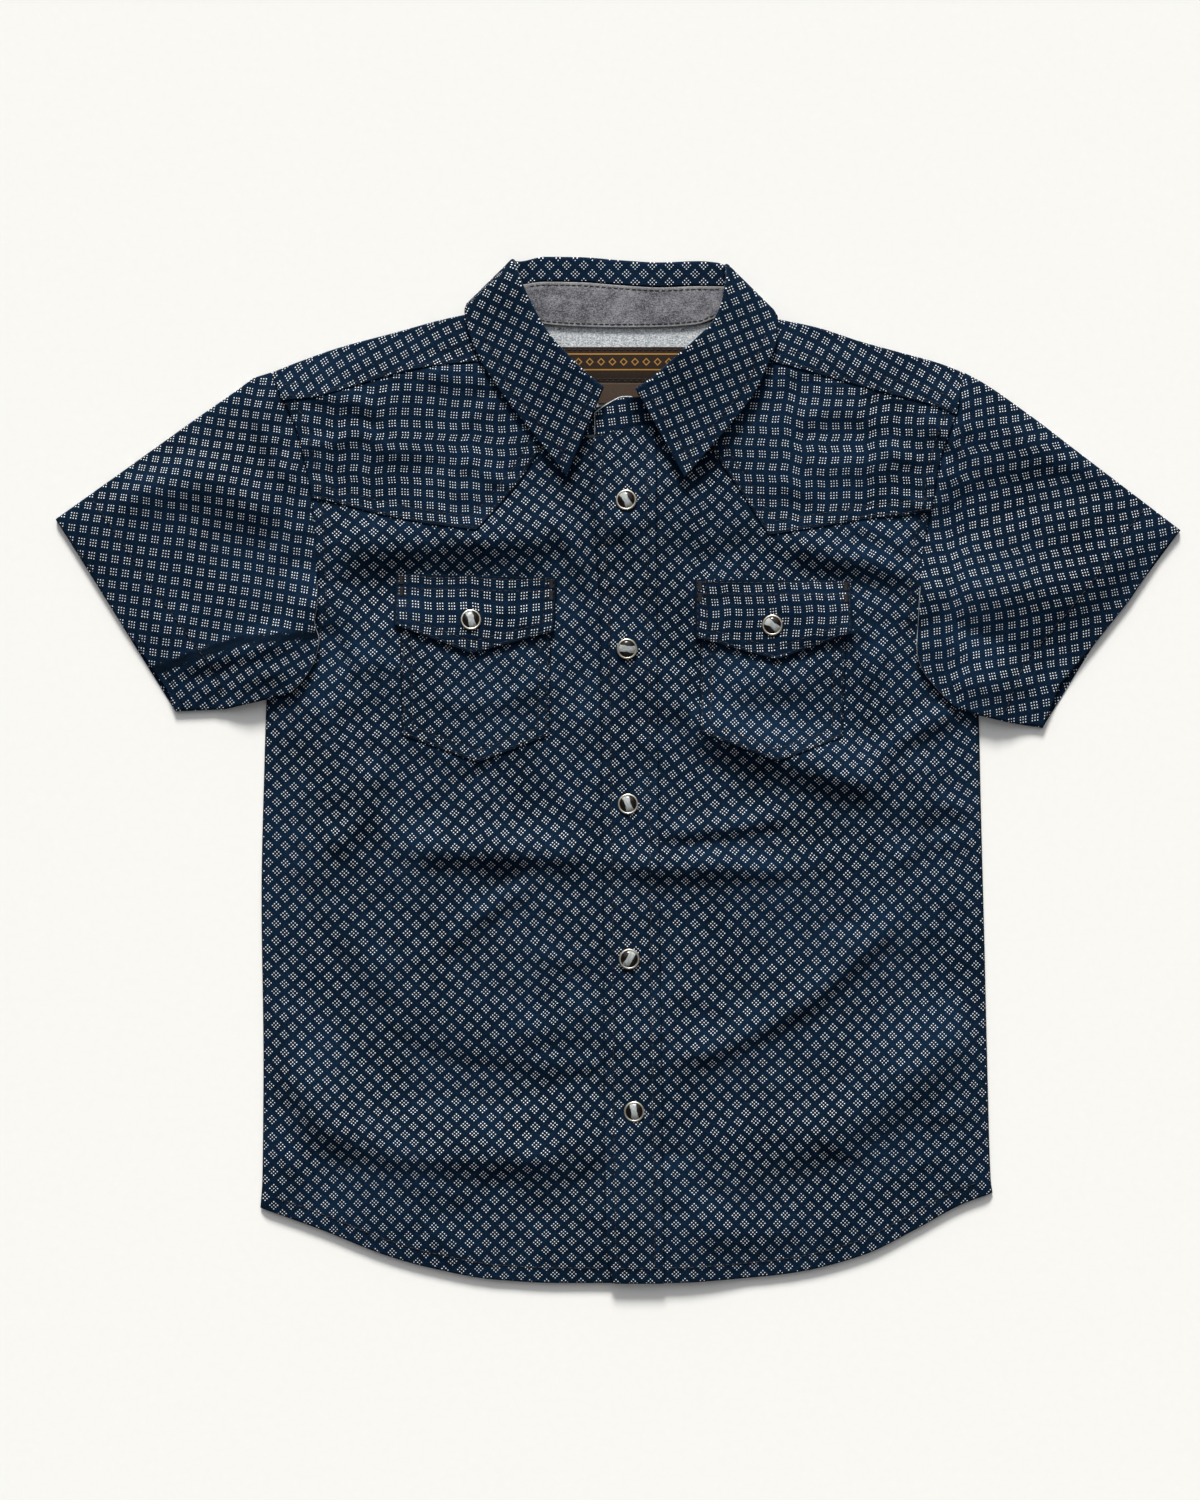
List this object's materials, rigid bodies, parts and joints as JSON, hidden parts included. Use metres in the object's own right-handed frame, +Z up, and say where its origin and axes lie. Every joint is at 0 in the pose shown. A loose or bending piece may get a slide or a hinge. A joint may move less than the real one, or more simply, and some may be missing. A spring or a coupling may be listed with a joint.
{
  "type": "child's western snap shirt",
  "caption": "Child's short-sleeved western shirt laid flat, with pointed yokes, flap pockets, a snap placket, a spread collar and a curved hem.",
  "frame": {"origin": "centre of the bounding box in plan, on the surface that the shirt lies on", "axes": "+X to the wearer's left, along the spread sleeves; +Y towards the collar; +Z up, out of the front"},
  "size_m": [0.518, 0.4724, 0.0131],
  "materials": {
    "cloth_print": "navy cotton poplin with a small woven-look print of pale dots",
    "facing_chambray": "grey chambray",
    "label_woven": "dark brown damask label, bare of text",
    "size_tab_woven": "tan woven tab, bare of text",
    "snap_metal": "pale polished ring",
    "snap_cap": "glossy black cap with a pale band"
  },
  "bodies": {
    "root": {"back": "cloth_print", "back_yoke": "cloth_print", "neck_label": "label_woven", "size_tab": "size_tab_woven", "front_right": "cloth_print", "front_left": "cloth_print", "placket": "cloth_print", "front_yoke_right": "cloth_print", "pocket_right": "cloth_print", "flap_right": "cloth_print", "sleeve_right": "cloth_print", "front_yoke_left": "cloth_print", "pocket_left": "cloth_print", "flap_left": "cloth_print", "sleeve_left": "cloth_print", "collar_leaf": "cloth_print", "collar_band": "cloth_print", "band_facing": "facing_chambray", "snap_1_ring": "snap_metal", "snap_1_cap": "snap_cap", "snap_2_ring": "snap_metal", "snap_2_cap": "snap_cap", "snap_3_ring": "snap_metal", "snap_3_cap": "snap_cap", "snap_4_ring": "snap_metal", "snap_4_cap": "snap_cap", "snap_5_ring": "snap_metal", "snap_5_cap": "snap_cap", "flap_snap_right_ring": "snap_metal", "flap_snap_right_cap": "snap_cap", "flap_snap_left_ring": "snap_metal", "flap_snap_left_cap": "snap_cap"}
  },
  "joints": []
}
